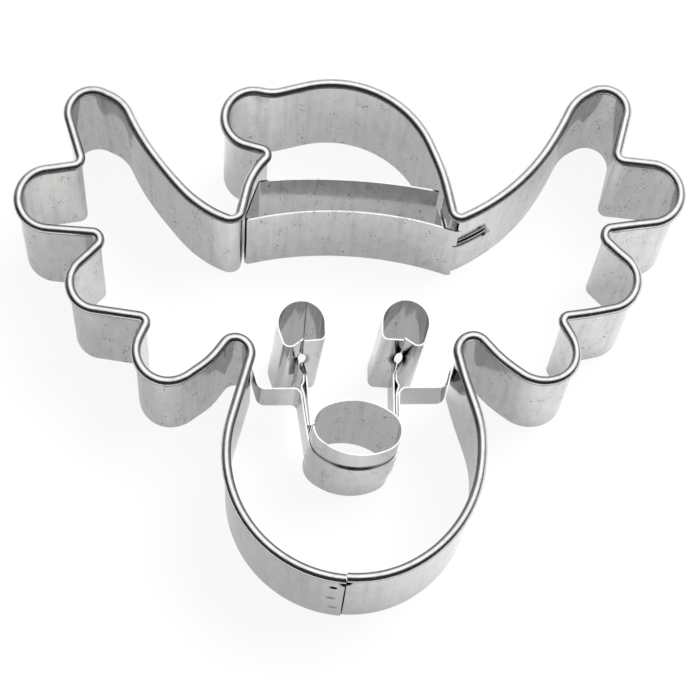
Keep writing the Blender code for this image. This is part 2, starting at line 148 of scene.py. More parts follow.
def carryAlong(moves):   # carries the selected section
    for kind, *move in moves:
        if kind == "run":
            x, y = move
            length = math.hypot(x, y)
            count = math.ceil(length / stock["longestStep"])
            for _ in range(count if length > stock["samePlace"] else 0):
                pushOut(x / count, y / count, 0)
        else:
            pin, turned = move
            if pin[2] > 0 and turned * pin[2] > stock["samePlace"]:
                spinRound((pin[0], pin[1], 0), (0, 0, 1), pin[3] * turned, pin[2])


def startStrip(name, x, y, z):   # a new piece with one point, ready to be extruded
    if bpy.context.mode != "OBJECT":
        bpy.ops.object.mode_set(mode="OBJECT")
    bpy.ops.object.select_all(action="DESELECT")
    bpy.ops.mesh.primitive_plane_add(size=mm)
    piece = bpy.context.object
    piece.name = piece.data.name = name
    bpy.ops.object.mode_set(mode="EDIT")
    bpy.ops.mesh.select_mode(type="VERT")
    bpy.ops.mesh.merge(type="CENTER")
    bpy.ops.transform.translate(value=(x * mm, y * mm, z * mm))
    bpy.ops.object.mode_set(mode="OBJECT")
    bpy.ops.object.transform_apply(location=True)
    bpy.ops.object.mode_set(mode="EDIT")
    bpy.ops.mesh.select_all(action="SELECT")
    return piece


def raiseTo(start, *stops):   # extrudes the selected point up or down through the heights
    z = start
    for stop in stops:
        count = max(1, math.ceil(abs(stop - z) / stock["rowHeight"]))
        for _ in range(count):
            pushOut(0, 0, (stop - z) / count)
        z = stop


def standUp(name, pin, low, high):   # an upright section at the start of a route, selected
    piece = startStrip(name, pin[0], pin[1], low)
    raiseTo(low, high)
    bpy.ops.mesh.select_all(action="SELECT")
    return piece


def pick(piece, chosen):   # selects the points whose number and place in mm are chosen
    bpy.ops.mesh.select_all(action="DESELECT")
    bpy.ops.object.mode_set(mode="OBJECT")
    for v in piece.data.vertices:
        v.select = bool(chosen(v.index, v.co / mm))
    bpy.ops.object.mode_set(mode="EDIT")
    bpy.ops.mesh.select_mode(type="VERT")


def picked(piece):
    bpy.ops.object.mode_set(mode="OBJECT")
    numbers = [v.index for v in piece.data.vertices if v.select]
    bpy.ops.object.mode_set(mode="EDIT")
    return numbers


def heightOf(piece, number):
    return piece.data.vertices[number].co.z / mm


def growSection(piece, low, high):   # makes the selected section taller, down to low and up to high
    section = picked(piece)
    for end, target in ((min, low), (max, high)):
        tip = end(section[:], key=lambda number: heightOf(piece, number))
        pick(piece, lambda number, place: number == tip)
        before = len(piece.data.vertices)
        raiseTo(heightOf(piece, tip), target)
        bpy.ops.object.mode_set(mode="OBJECT")
        section += range(before, len(piece.data.vertices))
        bpy.ops.object.mode_set(mode="EDIT")
    members = set(section)
    pick(piece, lambda number, place: number in members)


def trimSection(piece, low, high):   # keeps only this height of the selected section
    members = set(picked(piece))
    near = stock["samePlace"]
    pick(piece, lambda number, place: number in members and low - near < place.z < high + near)


def applyModifier(piece, kind, **settings):
    modifier = piece.modifiers.new(kind.lower(), kind)
    for key, value in settings.items():
        setattr(modifier, key, value)
    bpy.context.view_layer.objects.active = piece
    bpy.ops.object.modifier_apply(modifier=modifier.name)


def leanOver(piece, share):   # the welded inner strips stand a little out of plumb
    for v in piece.data.vertices:
        v.co.x -= stock["lean"] * (eye["height"] * mm - v.co.z) * share(v.co.x / mm)


def pushAside(piece):
    for v in piece.data.vertices:
        x, y = v.co.x / mm, v.co.y / mm
        for atX, atY, reach, moveX, moveY in stock["pushes"]:
            share = math.exp(-((x - atX) ** 2 + (y - atY) ** 2) / reach ** 2)
            v.co.x += moveX * share * mm
            v.co.y += moveY * share * mm


def waveWall(piece, depth, stillAt):   # hand-bent sheet is never quite flat up to this height
    texture = bpy.data.textures.new(piece.name + "_waves", "CLOUDS")
    texture.noise_scale = stock["waveLength"] * mm
    texture.noise_depth = 1
    group = piece.vertex_groups.new(name="freeWall")
    fade = stock["waveFade"]
    for v in piece.data.vertices:   # the cutting edge has the waves at half their depth
        z = v.co.z / mm
        group.add([v.index], max(0.0, min(1.0, 0.5 + z / fade, (stillAt - z) / fade)), "REPLACE")
    applyModifier(piece, "DISPLACE", texture=texture, texture_coords="LOCAL",
                  strength=2 * depth * mm, mid_level=0.5, vertex_group=group.name)
    piece.vertex_groups.clear()


def finishStrip(piece, node, material, waves, stillAt, leanShare=None):
    bpy.ops.mesh.select_all(action="SELECT")
    bpy.ops.mesh.remove_doubles(threshold=stock["samePlace"] * mm)
    bpy.ops.mesh.normals_make_consistent(inside=False)
    bpy.ops.object.mode_set(mode="OBJECT")
    if leanShare:
        leanOver(piece, leanShare)
    pushAside(piece)
    waveWall(piece, waves, stillAt)
    applyModifier(piece, "SOLIDIFY", thickness=stock["sheet"] * mm, offset=0,
                  use_even_offset=True, use_quality_normals=True)
    bpy.ops.object.mode_set(mode="EDIT")
    bpy.ops.mesh.select_all(action="SELECT")
    bpy.ops.mesh.normals_make_consistent(inside=False)
    bpy.ops.object.mode_set(mode="OBJECT")
    bpy.ops.object.shade_smooth_by_angle(angle=math.radians(stock["sharpAngle"]))
    piece.data.materials.clear()
    piece.data.materials.append(material)
    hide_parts(node)
    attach(piece, "root")
    print("scene: made", piece.name, "with", len(piece.data.polygons), "faces")


# Steel

def srgb(hexColour):
    values = [int(hexColour[i:i + 2], 16) / 255 for i in (1, 3, 5)]
    return [v / 12.92 if v <= 0.04045 else ((v + 0.055) / 1.055) ** 2.4 for v in values] + [1.0]


def addNode(tree, kind, settings=None, inputs=None, links=None):
    node = tree.nodes.new(kind)
    for key, value in (settings or {}).items():
        setattr(node, key, value)
    for key, value in (inputs or {}).items():
        node.inputs[key].default_value = value
    for key, source in (links or {}).items():
        tree.links.new(source, node.inputs[key])
    return node


steelLook = {
    "bright": "#d8d8d7",
    "dull": "#cacac9",
    "edgeTint": "#e8e8e8",      # steel mirrors a little less than plain glass would near grazing
    "darkStreak": "#cfcfcf",    # multiplies the tone in the upright streaks
    "brightStreak": "#e8e8e7",
    "scuff": "#e4e4e3",
    "grimeAndShade": "#262422",         # specks, welds, round the eyes; painted shade in seams, a crevice and low on the rolled edge
    # Patterns: the length in mm of one unit along x, y and z, and the detail of a noise
    "cloudPattern": (1.6, 1.6, 4.5, 4.0),    # upright patches about 2 mm wide
    "streakPattern": (1.1, 1.1, 30, 2.0),    # about 1 mm wide, as tall as the strip
    "scuffPattern": (9, 9, 0.22, 2.0),       # lines about 0.2 mm thick
    "patchPattern": (1.8, 1.8, 4.0, 1.0),    # where the specks are larger
    "speckPattern": (0.36, 0.36, 1.05),      # one speck at most in each cell
    # Ranges: two ends, and the values of the noise that give them
    "darkStreaks": (0.0, 0.38, 0.52, 0.74),
    "brightStreaks": (0.25, 0.0, 0.24, 0.36),
    "brightScuffs": (0.0, 0.3, 0.66, 0.8),
    "speckRadius": (-0.06, 0.27, 0.38, 0.66),   # below 0 there is no speck
    "speckRim": 0.04,                    # like the radius, in units of the cells
    "speckStrength": 0.7,
    "cleanChin": (-30.0, -20.0),         # between these y the specks fade out towards the chin
    "chinSpecks": 0.2,                   # what is left of their strength there
    "roughness": (0.06, 0.14),
    "bump": {"Strength": 0.1, "Distance": 0.01 * mm},
    "rolledFrom": None,                  # height above which the sheet is rolled, and stretched dull
    "rolledFade": 0.3,                   # height over which it gets dull
    "rolledRoughness": 0.27,
    "flank": (23.4, 23.6, 24.2, 24.5),   # heights between which the rolled edge gets painted shade
    "flankStrength": 0.85,
    "markCore": 0.5,                     # share of a mark's reach in which it has its full strength
}


def rolledSteel(name, look, marks):
    # Cold-rolled tinplate strip: a mirror-like, faintly cloudy metal with upright streaks from
    # bending, a few thin scuffs along the strip, small dark specks in the tin, and duller where it
    # is rolled, with painted shade low on the rolled edge. Marks are welds, dark patches at the
    # eyes, and painted shade in seams and a crevice.
    material = bpy.data.materials.new(name)
    material.use_nodes = True
    tree = material.node_tree
    shader = tree.nodes["Principled BSDF"]
    shader.inputs["Metallic"].default_value = 1.0
    place = addNode(tree, "ShaderNodeTexCoord").outputs["Object"]

    def stretched(x, y, z):   # lengths in mm of one unit of the pattern
        return addNode(tree, "ShaderNodeMapping",
                       inputs={"Scale": (1 / (x * mm), 1 / (y * mm), 1 / (z * mm))},
                       links={"Vector": place}).outputs["Vector"]

    def noise(x, y, z, detail):
        return addNode(tree, "ShaderNodeTexNoise", inputs={"Scale": 1.0, "Detail": detail},
                       links={"Vector": stretched(x, y, z)}).outputs["Fac"]

    def ranged(value, low, high, fromLow=0.3, fromHigh=0.7):   # a noise seldom leaves 0.3 to 0.7
        return addNode(tree, "ShaderNodeMapRange",
                       inputs={"From Min": fromLow, "From Max": fromHigh,
                               "To Min": low, "To Max": high},
                       links={"Value": value}).outputs["Result"]

    def mathNode(operation, first, second):
        return addNode(tree, "ShaderNodeMath", {"operation": operation},
                       links={0: first, 1: second}).outputs[0]

    def tinted(kind, colour, base, factor):
        return addNode(tree, "ShaderNodeMix", {"data_type": "RGBA", "blend_type": kind},
                       {"B": srgb(colour)}, {"A": base, "Factor": factor}).outputs["Result"]

    clouds = noise(*look["cloudPattern"])
    streaks = noise(*look["streakPattern"])
    scuffs = noise(*look["scuffPattern"])
    axes = addNode(tree, "ShaderNodeSeparateXYZ", links={"Vector": place}).outputs
    speckCells = addNode(tree, "ShaderNodeTexVoronoi", inputs={"Scale": 1.0, "Randomness": 1.0},
                         links={"Vector": stretched(*look["speckPattern"])})
    speckRadius = ranged(noise(*look["patchPattern"]), *look["speckRadius"])
    dirtAndShade = ranged(mathNode("SUBTRACT", speckRadius, speckCells.outputs["Distance"]),
                  0.0, look["speckStrength"], 0.0, look["speckRim"])
    rough = ranged(clouds, *look["roughness"])
    if look["rolledFrom"]:
        rolledFrom = look["rolledFrom"] * mm
        low, full, fading, high = [z * mm for z in look["flank"]]
        cleanBelow, dirtyAbove = [y * mm for y in look["cleanChin"]]
        dirtAndShade = mathNode("MULTIPLY", dirtAndShade, ranged(axes["Z"], 1.0, 0.0, rolledFrom - mm, rolledFrom))
        dirtAndShade = mathNode("MULTIPLY", dirtAndShade,
                        ranged(axes["Y"], look["chinSpecks"], 1.0, cleanBelow, dirtyAbove))
        # Painted shade low on the rolled edge, where the roll meets the wall
        flank = mathNode("MULTIPLY", ranged(axes["Z"], 0.0, look["flankStrength"], low, full),
                         ranged(axes["Z"], 1.0, 0.0, fading, high))
        dirtAndShade = mathNode("MAXIMUM", dirtAndShade, flank)
        rolled = ranged(axes["Z"], 0.0, look["rolledRoughness"],
                        rolledFrom, rolledFrom + look["rolledFade"] * mm)
        rough = mathNode("MAXIMUM", rough, rolled)
    # Each mark darkens the steel round its middle: welds and dark patches, and painted shade in
    # seams and a crevice
    for centre, reach, strength in marks:
        away = addNode(tree, "ShaderNodeVectorMath", {"operation": "SUBTRACT"},
                       {1: [c * mm for c in centre]}, {0: place}).outputs["Vector"]
        away = addNode(tree, "ShaderNodeVectorMath", {"operation": "DIVIDE"},
                       {1: [c * mm for c in reach]}, {0: away}).outputs["Vector"]
        away = addNode(tree, "ShaderNodeVectorMath", {"operation": "LENGTH"},
                       links={0: away}).outputs["Value"]
        dirtAndShade = mathNode("MAXIMUM", dirtAndShade, ranged(away, strength, 0.0, look["markCore"], 1.0))
    tone = addNode(tree, "ShaderNodeMix", {"data_type": "RGBA"},
                   {"A": srgb(look["dull"]), "B": srgb(look["bright"])},
                   {"Factor": ranged(clouds, 0.0, 1.0)}).outputs["Result"]
    tone = tinted("MULTIPLY", look["darkStreak"], tone, ranged(streaks, *look["darkStreaks"]))
    tone = tinted("MIX", look["brightStreak"], tone, ranged(streaks, *look["brightStreaks"]))
    tone = tinted("MIX", look["scuff"], tone, ranged(scuffs, *look["brightScuffs"]))
    edge = addNode(tree, "ShaderNodeRGB")
    edge.outputs[0].default_value = srgb(look["edgeTint"])
    for socket, clean in (("Base Color", tone), ("Specular Tint", edge.outputs[0])):
        tree.links.new(tinted("MIX", look["grimeAndShade"], clean, dirtAndShade), shader.inputs[socket])
    tree.links.new(rough, shader.inputs["Roughness"])
    bump = addNode(tree, "ShaderNodeBump", inputs=look["bump"], links={"Height": clouds})
    tree.links.new(bump.outputs["Normal"], shader.inputs["Normal"])
    return material


# Band

band = {
    "height": 25.0,
    "beadRadius": 0.72,
    "neckRadius": 0.5,     # bend that carries the wall in under the bead
    "neckDrop": 1.25,      # of its middle below the bead's
    "beadMouth": -60.0,    # the roll stops at this angle, in degrees
    "seamX": -1.7,
    "seamLap": 5.0,        # length of the end that is lapped behind the other one
    "seamLugTop": 21.5,    # top of that end
    "jaw": (-0.36, -19.05, 18.2, left),        # from the seam to the right
    "leftJaw": (-0.35, -19.25, 18.24, left),   # it ends just outside the other end
    "temple": (17.3, -4.2, 2.35, right),       # where an antler leaves the jaw
    "antler": (            # from the temple: x, y, radius, side
        (9.8, 0.3, 4.6, left), (13.9, 4.6, 1.0, right), (19.9, 10.8, 4.1, left),
        (20.3, 17.4, 1.2, right), (26.5, 23.9, 4.6, left), (23.2, 30.1, 1.15, right),
        (20.2, 37.0, 3.55, left), (20.2, 34.6, 5.7, left),
    ),
    "hollow": (4.4, 43.6),    # middle of the sweep from the antler's tip to the cap
    "cornerRadius": 1.25,
    "rightCornerX": 16.0,
    "leftCornerX": -17.2,
    "leftCornerDrop": 0.57,   # it hangs this far below the hollow's sweep
    "cap": (                  # from the right corner: x itself, rise, radius, side
        (-14.3, -2.66, 29.0, left), (-2.7, 4.29, 15.65, left), (-11.3, 23.44, 5.0, right),
        (-14.0, 14.44, 4.35, left), (-13.1, 8.69, 0.9, right), (-5.5, 0.84, 10.0, left),
    ),
    "waves": 0.05,
    "stillAt": 23.0,       # under the bead the waves have died out
    "marks": (             # middle, reach and strength: three welds, painted shade in the seam and at its top, painted shade in a crevice
        ((-3.46, -37.40, 18.1), (0.75, 0.80, 0.95), 1.0),
        ((-3.65, -37.35, 11.3), (0.90, 0.80, 0.8), 0.4),
        ((-3.24, -37.40, 5.4), (0.90, 0.80, 0.8), 0.3),
        # painted shade in the seam's gap, and at its top under the rolled edge
        ((-1.75, -37.40, 11.0), (0.19, 0.80, 16.0), 0.85),
        ((-1.75, -37.40, 21.4), (1.15, 0.80, 2.4), 1.0),
        # painted shade in the gap between the band's left corner and the brim
        ((-15.90, 17.40, 11.0), (0.35, 0.90, 15.0), 1.0),
    ),
}
bandSteel = rolledSteel("rolledTinplateBand", dict(steelLook, rolledFrom=23.2), band["marks"])


def hollowPin():   # the long hollow flows out of the shoulder of the antler's tip
    x, y = band["hollow"]
    shoulderX, shoulderY, shoulderRadius = band["antler"][-1][:3]
    templeX, templeY = band["temple"][:2]
    apart = math.hypot(templeX + shoulderX - x, templeY + shoulderY - y)
    return x, y, apart - shoulderRadius, right


def antlerPins():
    templeX, templeY = band["temple"][:2]
    bends = [(templeX + x, templeY + y, radius, side) for x, y, radius, side in band["antler"]]
    return [band["temple"], *bends, hollowPin()]


def cornerPin(x, drop):
    hollowX, hollowY, hollowRadius = hollowPin()[:3]
    radius = band["cornerRadius"]
    return x, yOnCircle(hollowX, hollowY, hollowRadius - radius, abs(x), -1) - drop, radius, right


rightCorner = cornerPin(band["rightCornerX"], 0.0)
leftCorner = cornerPin(band["leftCornerX"], band["leftCornerDrop"])
capPins = [(x, rightCorner[1] + rise, radius, side) for x, rise, radius, side in band["cap"]]
jaw, leftJaw = band["jaw"], band["leftJaw"]
seamAngle = -math.acos((band["seamX"] - jaw[0]) / jaw[2])


def makeBand():
    start = pointOn(jaw, seamAngle)
    pins = [start, jaw, *antlerPins(), rightCorner, *capPins, leftCorner,
            *mirrored(antlerPins()), leftJaw,
            pointOn(leftJaw, seamAngle - stock["buttGap"] / leftJaw[2])]
    heading = seamAngle + math.pi / 2
    along = (math.cos(heading), math.sin(heading), 0)
    beadZ = band["height"] - band["beadRadius"]
    neck = (-band["neckRadius"], beadZ - band["neckDrop"], band["neckRadius"], left)
    roll = (0.0, beadZ, band["beadRadius"] - stock["sheet"] / 2, right)
    leaving = tangentHeading(neck, roll)
    mouth = math.radians(band["beadMouth"]) - math.pi / 2
    piece = startStrip("outline_band_steel", start[0], start[1], 0)
    raiseTo(0, band["seamLugTop"], neck[1])
    neckX, neckY = beside(start[0], start[1], heading, neck[0])
    spinRound((neckX, neckY, neck[1]), along, -turnBetween(math.pi / 2, leaving, left), neck[2])
    fromOut, fromZ = touchPoint(neck, leaving)
    toOut, toZ = touchPoint(roll, leaving)
    pushOut(*beside(0, 0, heading, toOut - fromOut), toZ - fromZ)
    spinRound((start[0], start[1], beadZ), along, turnBetween(leaving, mouth, right), roll[2])
    bpy.ops.mesh.select_all(action="SELECT")
    section = len(picked(piece))
    carryAlong(routeMoves(pins))
    # The lapped end: below the neck the wall runs on, behind the other end
    lugTop = band["seamLugTop"] + stock["samePlace"]
    pick(piece, lambda number, place: number < section and place.z < lugTop)
    spinRound((jaw[0], jaw[1], 0), (0, 0, 1), -band["seamLap"] / jaw[2], jaw[2])
    finishStrip(piece, "outline_band", bandSteel, band["waves"], band["stillAt"])


makeBand()

# Brim

brim = {
    "height": 20.3,
    "lugBottom": 5.3, "lugTop": 13.5,
    "lugReach": 4.8,         # from the cap's right corner along the band
    "crownX": -3.4, "crownRise": 1.35,         # top of the front wall's arc, above its right end
    "backCrownX": -6.0, "backRadius": 88.0,    # the back wall's arc
    "depth": 5.05,           # between the tops of the two arcs
    "leftFoldX": -14.75, "backFoldX": -12.95, "foldRadius": 0.5,
    "flap": (0.68, -0.02),   # so far the front wall runs on past its lug
    "waves": 0.03,
    "marks": (               # middle, reach and strength: the welds at the ends of the lugs
        ((20.2, 17.2, 13.6), (0.50, 0.50, 0.55), 0.9),
        ((20.0, 17.4, 12.0), (0.40, 0.40, 0.60), 0.7),
    ),
}
# The brim is the same tinplate toned darker, as painted shade on its front wall
shadedBrimSteel = rolledSteel("rolledTinplateBrimShaded", dict(steelLook, bright="#cdcdcc", dull="#c0c0bf"),
                        brim["marks"])


def foldBetween(wall, side, radius):   # inside both arcs, where their offsets cross
    wallReach, sideReach = wall[2] - radius, side[2] - radius
    dx, dy = side[0] - wall[0], side[1] - wall[1]
    apart = math.hypot(dx, dy)
    along = (apart ** 2 + wallReach ** 2 - sideReach ** 2) / (2 * apart)
    across = math.sqrt(max(0.0, wallReach ** 2 - along ** 2))
    return (wall[0] + (along * dx + across * dy) / apart,
            wall[1] + (along * dy - across * dx) / apart, radius, right)


def makeBrim():
    sweep, corner, fold = hollowPin(), rightCorner, brim["foldRadius"]
    endAngle = math.atan2(corner[1] - sweep[1], corner[0] - sweep[0]) + brim["lugReach"] / sweep[2]
    frontSweep, frontCorner = grown(sweep, 2 * lap), grown(corner, 2 * lap)
    backSweep, backCorner = otherWay(grown(sweep, lap)), otherWay(grown(corner, lap))
    backSide = otherWay(grown(capPins[0], lap))
    across = frontCorner[0] - brim["crownX"]
    frontRadius = ((across ** 2 + brim["crownRise"] ** 2 - frontCorner[2] ** 2)
                   / (2 * (frontCorner[2] + brim["crownRise"])))
    front = (brim["crownX"], frontCorner[1] + brim["crownRise"] - frontRadius, frontRadius, left)
    backY = front[1] + front[2] + brim["depth"] - brim["backRadius"]
    back = (brim["backCrownX"], backY, brim["backRadius"], right)
    leftFoldY = yOnCircle(front[0], front[1], front[2] + fold, brim["leftFoldX"], 1)
    backFoldY = yOnCircle(back[0], back[1], back[2] - fold, brim["backFoldX"], 1)
    pins = [
        pointOn(frontSweep, endAngle), frontSweep, frontCorner,
        front, (brim["leftFoldX"], leftFoldY, fold, right),
        (brim["backFoldX"], backFoldY, fold, right), back,
        foldBetween(back, backSide, fold), backSide, backCorner, backSweep,
        pointOn(backSweep, endAngle),
    ]
    piece = startLugged("cap_brim_steel", pins, (3, 6), brim["lugBottom"], brim["lugTop"],
                        brim["height"], (brim["flap"], None))
    finishStrip(piece, "cap_brim_strip", shadedBrimSteel, brim["waves"],
                brim["height"] + stock["waveFade"])


def reachOut(piece, way, low, high):   # lengthens the selected section below low and above high
    members = set(picked(piece))
    near = stock["samePlace"]
    for above, below in ((-near, low + near), (high - near, math.inf)):
        pick(piece, lambda number, place: number in members and above < place.z < below)
        pushOut(*way, 0)
    pick(piece, lambda number, place: number in members)


def startLugged(name, pins, body, lugBottom, lugTop, height, meet):
    # Narrow lug, full height from before the first body pin to after the last one, narrow lug
    moves = routeMoves(pins)
    first, last = 2 * (body[0] - 1), 2 * body[1] + 1
    piece = standUp(name, pins[0], lugBottom, lugTop)
    carryAlong(moves[:first])
    growSection(piece, 0, height)
    if meet[0]:
        reachOut(piece, meet[0], lugBottom, lugTop)
    carryAlong(moves[first:last])
    if meet[1]:
        reachOut(piece, meet[1], lugBottom, lugTop)
    trimSection(piece, lugBottom, lugTop)
    carryAlong(moves[last:])
    return piece


makeBrim()

# Nose ring

ring = {
    "height": 23.3,
    "x": 0.35, "y": -15.15,
    "halfLength": 6.35, "halfWidth": 4.05, "endRadius": 3.1,
    "tilt": -8.0,   # degrees in plan, and below 0 is clockwise
    "waves": 0.02,
}


def ringPins():   # left end, lower side, right end and upper side, counter-clockwise
    endRadius, halfWidth = ring["endRadius"], ring["halfWidth"]
    end = ring["halfLength"] - endRadius
    longRadius = (end ** 2 + halfWidth ** 2 - endRadius ** 2) / (2 * (halfWidth - endRadius))
    tilt = math.radians(ring["tilt"])

    def placed(x, y, radius):
        return (ring["x"] + x * math.cos(tilt) - y * math.sin(tilt),
                ring["y"] + x * math.sin(tilt) + y * math.cos(tilt), radius, left)

    return (placed(-end, 0, endRadius), placed(0, longRadius - halfWidth, longRadius),
            placed(end, 0, endRadius), placed(0, halfWidth - longRadius, longRadius))


ringLeft, ringBelow, ringRight, ringAbove = ringPins()


def makeRing():
    halfGap = stock["buttGap"] / ring["endRadius"] / 2
    pins = [pointOn(ringLeft, math.pi + halfGap), ringLeft, ringBelow, ringRight, ringAbove,
            ringLeft, pointOn(ringLeft, math.pi - halfGap)]
    piece = standUp("nose_ring_steel", pins[0], 0, ring["height"])
    carryAlong(routeMoves(pins))
    finishStrip(piece, "nose_ring_strip", innerSteel, ring["waves"],
                ring["height"] + stock["waveFade"], lambda x: 1.0)


# Bracket that carries the nose ring and the eyes

bracket = {
    "bottom": 7.2, "height": 8.7,
    "armY": -7.1,         # the arms, from the temples towards the middle
    "tabX": 12.7, "tabBend": 1.3, "tabRise": 0.8,   # their ends, which bend up against the band
    "runX": 7.15, "runBend": 1.1,                   # where they turn down to the nose ring
    "cradleGap": -0.09,   # the cradle lies this much closer to the ring than a lap
    "waves": 0.02,
}
runPin = (-bracket["runX"] - bracket["runBend"], bracket["armY"] - bracket["runBend"],
          bracket["runBend"], right)


def makeBracket():
    templeX, templeY, templeRadius = band["temple"][:3]
    reach = templeRadius + lap
    endX = -templeX + math.sqrt(reach ** 2 - bracket["tabRise"] ** 2)
    bend = bracket["tabBend"]
    half = [(endX, templeY + bracket["tabRise"], 0.0, left),
            (-bracket["tabX"], bracket["armY"] + bend, bend, left), runPin]
    cradle = [grown(pin, -lap - bracket["cradleGap"]) for pin in (ringLeft, ringBelow, ringRight)]
    pins = half + cradle + mirrored(half)
    bottom = bracket["bottom"]
    top = bottom + bracket["height"]
    runEnd = bracket["runX"] + bracket["runBend"]
    piece = standUp("nose_bracket_steel", pins[0], bottom, top)
    carryAlong(routeMoves(pins))
    finishStrip(   # the ends of its arms stay upright against the band
        piece, "nose_bracket_strip", innerSteel, bracket["waves"],
        top + stock["waveFade"],
        lambda x: max(0.0, min(1.0, (bracket["tabX"] - abs(x)) / (bracket["tabX"] - runEnd))))


# Eyes

eye = {
    "height": 24.4,
    "ball": (-7.55, 0.2, 3.42), "outerLobe": (-9.25, -2.2, 1.1), "innerLobe": (-5.0, -1.4, 0.9),
    "seamX": -7.25, "seamGap": 0.1,       # where the two halves of the round wall meet
    "cuspY": -2.45, "cuspRadius": 0.2,    # there they turn down into the stem
    "bowDrop": 0.8, "bowReach": 0.45,     # below the cusp the two sheets of the stem bow apart
    "meetDrop": 2.5, "lugBend": 0.45,     # and lie on each other from here down
    "partRise": 1.2,                      # above the arm the stem leaves the line of the lug
    "kinkRise": 0.25, "kinkReach": 0.35, "kinkRadius": 0.3,   # of the outer sheet beside the arm
    "lugClearance": 0.3,                  # between the ends of the lugs and the nose ring
    "waves": 0.02,
    "leftHole": ((-6.95, -2.5, 15.5), (0.60, 0.95, 2.6)),    # middle and reach
    "rightHole": ((7.2, -2.55, 15.2), (0.60, 1.00, 3.1)),
    "holeFacets": (24, 16),               # round and from pole to pole
    "marks": (   # middle, reach and strength: dark round each eye's opening, and a dark line in the left one
        ((-7.3, -2.6, 15.5), (1.3, 1.2, 3.4), 0.5),
        ((6.85, -2.6, 15.2), (1.7, 1.3, 3.6), 0.8),
        ((-6.75, 3.4, 14.0), (0.15, 0.60, 14.0), 0.5),
    ),
}
innerSteel = rolledSteel("rolledTinplateInner", dict(steelLook, bright="#d2d2d1"), eye["marks"])


def lugEnd(ringEnd, laps):   # this many laps inside the bracket's run, short of the nose ring
    heading = tangentHeading(runPin, grown(ringEnd, -lap))
    startX, startY = touchPoint(runPin, heading)
    faceX, faceY = beside(startX, startY, heading, -2 * lap - stock["sheet"] / 2)
    reach = ringEnd[2] + stock["sheet"] / 2 + eye["lugClearance"]
    towardsX, towardsY = ringEnd[0] - faceX, ringEnd[1] - faceY
    along = towardsX * math.cos(heading) + towardsY * math.sin(heading)
    across = towardsX * math.sin(heading) - towardsY * math.cos(heading)
    length = along - math.sqrt(max(0.0, reach ** 2 - across ** 2))
    x, y = beside(startX, startY, heading, -laps * lap)
    return x + length * math.cos(heading), y + length * math.sin(heading), 0.0, left


def makeEye(name, node, ringEnd, onRight):
    bend, seamX, cuspRadius = eye["lugBend"], eye["seamX"], eye["cuspRadius"]
    outerX = -bracket["runX"] + lap
    innerX = outerX + lap
    meetY = eye["cuspY"] - eye["meetDrop"]
    bowY = eye["cuspY"] - eye["bowDrop"]
    cuspX, cuspY = lap / 2 + cuspRadius, eye["cuspY"] - cuspRadius
    pins = [
        lugEnd(ringEnd, 1), otherWay(grown(runPin, lap)),
        (outerX - eye["kinkReach"] + eye["kinkRadius"], bracket["armY"] + eye["kinkRise"],
         eye["kinkRadius"], right),
        (outerX - bend, bracket["armY"] + eye["partRise"], bend, left),
        (outerX - bend, meetY, bend, left),
        (seamX - eye["bowReach"] + bend, bowY, bend, right),
        (seamX - cuspX, cuspY, cuspRadius, left), (*eye["outerLobe"], right),
        (*eye["ball"], right), (*eye["innerLobe"], right),
        (seamX + cuspX, cuspY, cuspRadius, left),
        (seamX + eye["bowReach"] - bend, bowY, bend, right),
        (innerX - bend, meetY, bend, right), lugEnd(ringEnd, 2),
    ]
    bottom = bracket["bottom"]
    meet = [overrun(pins[6], tangentHeading(pins[6], pins[7]), seamX - eye["seamGap"] / 2),
            overrun(pins[10], tangentHeading(pins[9], pins[10]), seamX + eye["seamGap"] / 2)]
    piece = startLugged(name, pins, (7, 9), bottom, bottom + bracket["height"],
                        eye["height"], meet)
    if onRight:
        bpy.ops.mesh.select_all(action="SELECT")
        bpy.ops.transform.resize(value=(-1, 1, 1), center_override=(0, 0, 0))
    finishStrip(piece, node, innerSteel, eye["waves"],
                eye["height"] + stock["waveFade"], lambda x: 1.0)
    (x, y, z), reach = eye["rightHole" if onRight else "leftHole"]
    punch(piece, (x - stock["lean"] * (eye["height"] - z), y, z), reach)


def overrun(pin, heading, seamX):   # from where a strip touches a pin, straight on to the seam
    x = seamX - touchPoint(pin, heading)[0]
    return x, x * math.tan(heading)


def punch(piece, centre, reach):   # the torn opening where the lugs leave the round wall
    bpy.ops.object.select_all(action="DESELECT")
    around, rows = eye["holeFacets"]
    bpy.ops.mesh.primitive_uv_sphere_add(segments=around, ring_count=rows, radius=mm,
                                         location=[c * mm for c in centre], scale=reach)
    cutter = bpy.context.object
    applyModifier(piece, "BOOLEAN", object=cutter, operation="DIFFERENCE", solver="EXACT",
                  use_self=True)
    bpy.data.objects.remove(cutter)
    piece.select_set(True)
    bpy.ops.object.shade_smooth_by_angle(angle=math.radians(stock["sharpAngle"]))


makeRing()
makeBracket()
makeEye("left_eye_steel", "left_eye_strip", ringLeft, False)
makeEye("right_eye_steel", "right_eye_strip", mirrored([ringRight])[0], True)

# Stage: a white table, a soft box and a weak hot spot overhead, a side lamp, dark flags and
# the camera

stage = {
    "table": 3.0,
    "white": "#f4f4f4",
    "selfLight": 0.92,      # share of the table's white that doesn't depend on the lamps
    "mirroredLight": 0.60,  # the same share where the table is seen in the steel
    "dim": 0.03,            # the room in front and at the left
    "pale": 0.50,           # the room behind
    "paleSide": (0.25, 0.97, 0.0),
    "paleFrom": (-0.2, 0.8),   # it goes from dim to pale between these cosines off that side
    "softBox": {"place": (0.13, 0.35, 0.60), "size": (0.96, 1.00), "radiance": 0.77},
    "hotSpot": {"place": (0.08, 0.18, 0.59), "size": (0.40, 0.34), "radiance": 0.4},
    "sideLamp": {"place": (0.30, 0.20, 0.70), "size": (0.40, 0.40), "radiance": 14.0},
    "felt": "#101010",
    "flags": (              # middle and size of each: one in front and one at the left
        ((0.0, -0.75), (2.80, 1.28)), ((-0.75, 0.64), (1.28, 1.50)),
    ),
}


